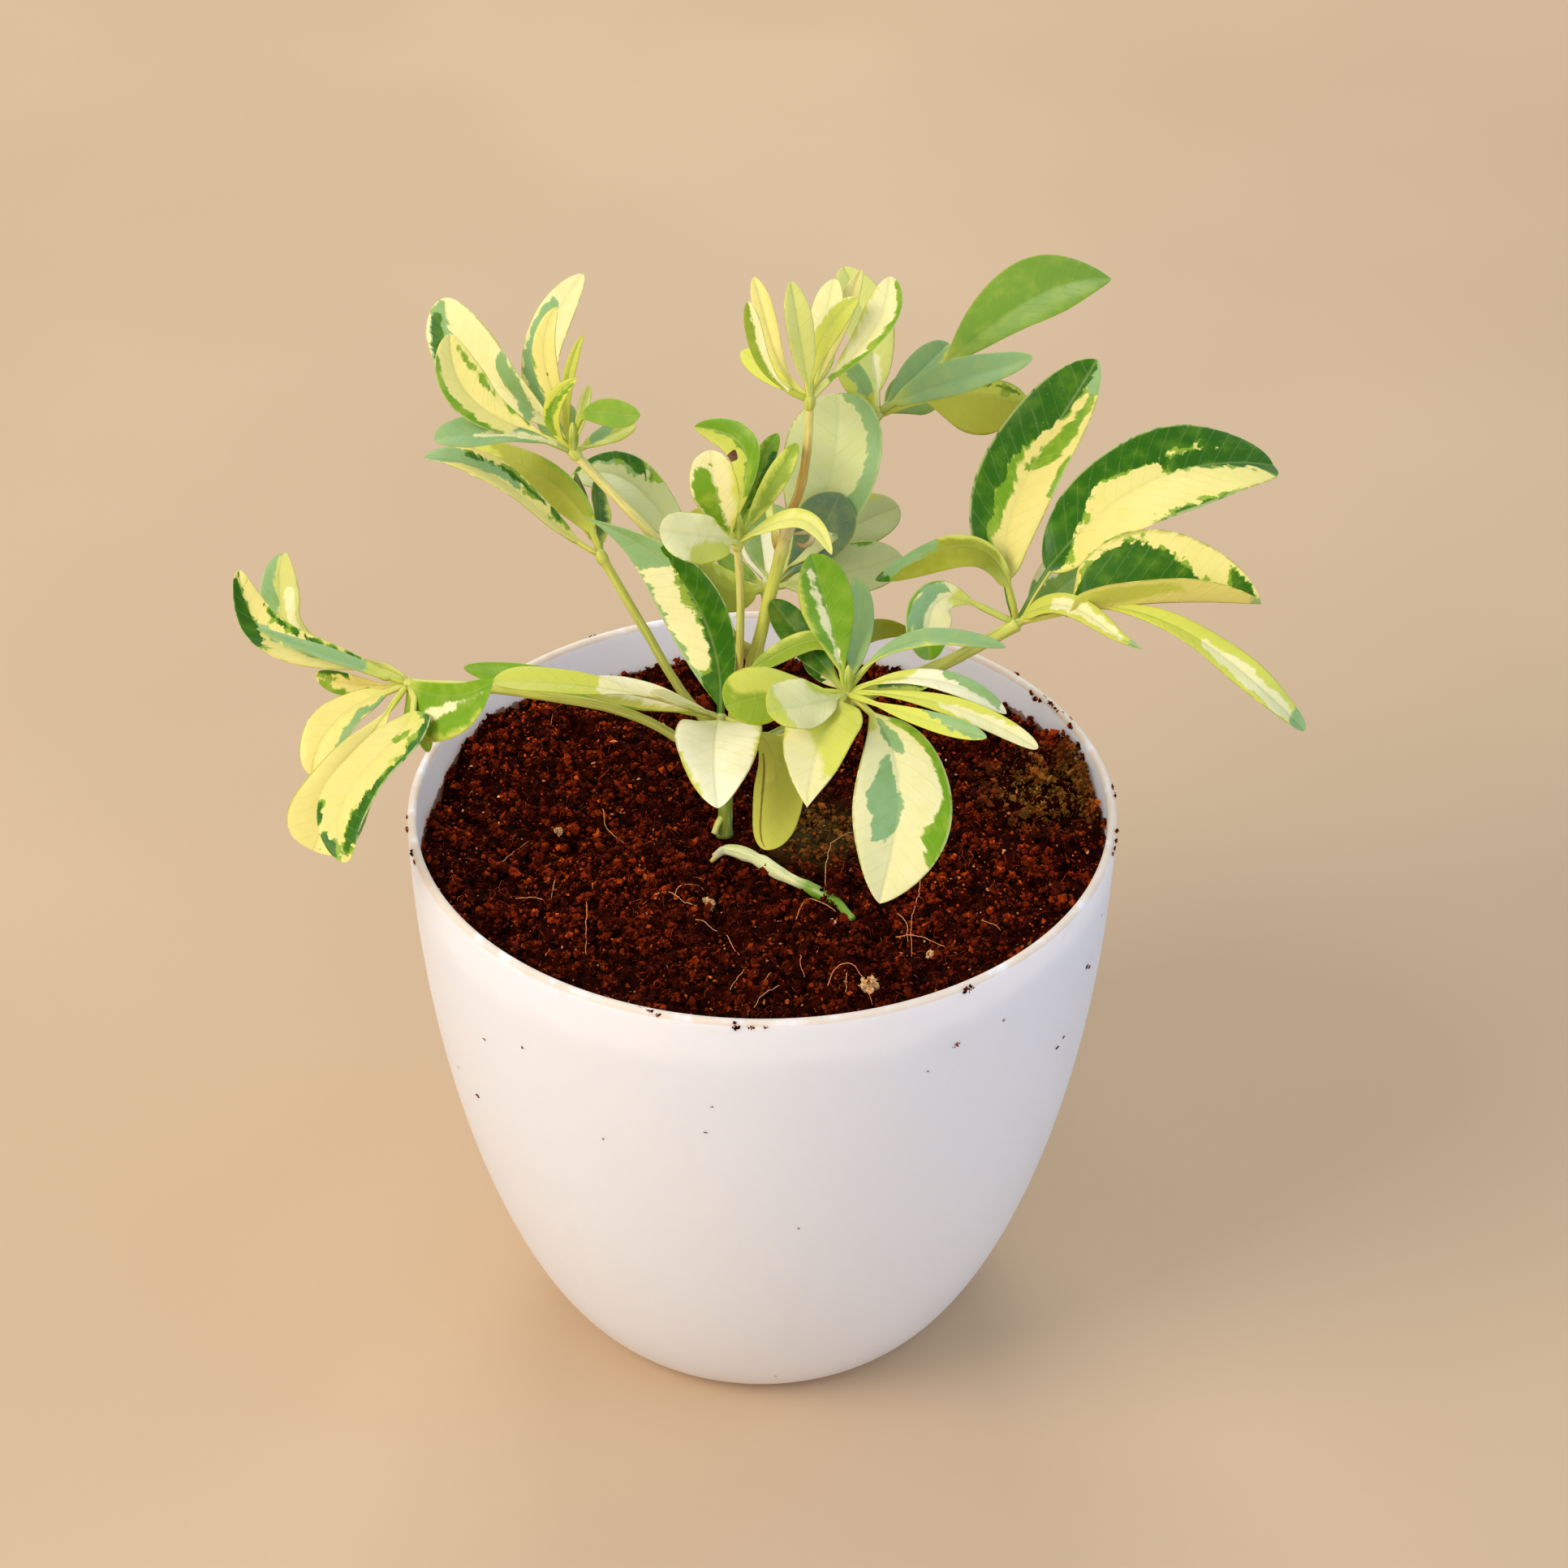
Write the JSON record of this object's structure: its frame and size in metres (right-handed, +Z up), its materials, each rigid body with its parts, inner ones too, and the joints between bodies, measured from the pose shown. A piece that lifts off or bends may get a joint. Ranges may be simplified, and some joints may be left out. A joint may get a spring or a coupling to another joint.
{
  "type": "potted umbrella tree",
  "caption": "Young variegated umbrella tree with whorls of cream and green leaflets, growing in dark coir in a plain round white pot.",
  "frame": {"origin": "centre of the pot's flat underside, on the ground", "axes": "+Z up; the plant's good side faces -Y, and +X is to its right as seen from there"},
  "size_m": [0.2203, 0.15, 0.2464],
  "materials": {
    "white_plastic": "satin white",
    "coir_soil": "rough, crumbly red-brown",
    "young_stem": "smooth yellow-green",
    "leaf_stalk": "smooth green",
    "cut_stalk": "pale, torn",
    "variegated_leaf": "satin leaf, cream and green"
  },
  "bodies": {
    "root": {"pot": "white_plastic", "soil": "coir_soil", "main_stem": "young_stem", "crown_shoot": "young_stem", "fallen_stalk": "cut_stalk", "stalk_left": "leaf_stalk", "stalk_left_back": "leaf_stalk", "stalk_upper_left": "leaf_stalk", "stalk_front_top": "leaf_stalk", "stalk_back_right": "leaf_stalk", "stalk_right": "leaf_stalk", "stalk_front": "leaf_stalk", "stalk_middle": "leaf_stalk", "leaves_left": "variegated_leaf", "leaves_left_back": "variegated_leaf", "leaves_upper_left": "variegated_leaf", "leaves_low": "variegated_leaf", "leaves_front_top": "variegated_leaf", "leaves_crown": "variegated_leaf", "leaves_back_right": "variegated_leaf", "leaves_right": "variegated_leaf", "leaves_front": "variegated_leaf", "leaves_middle": "variegated_leaf"}
  },
  "joints": []
}
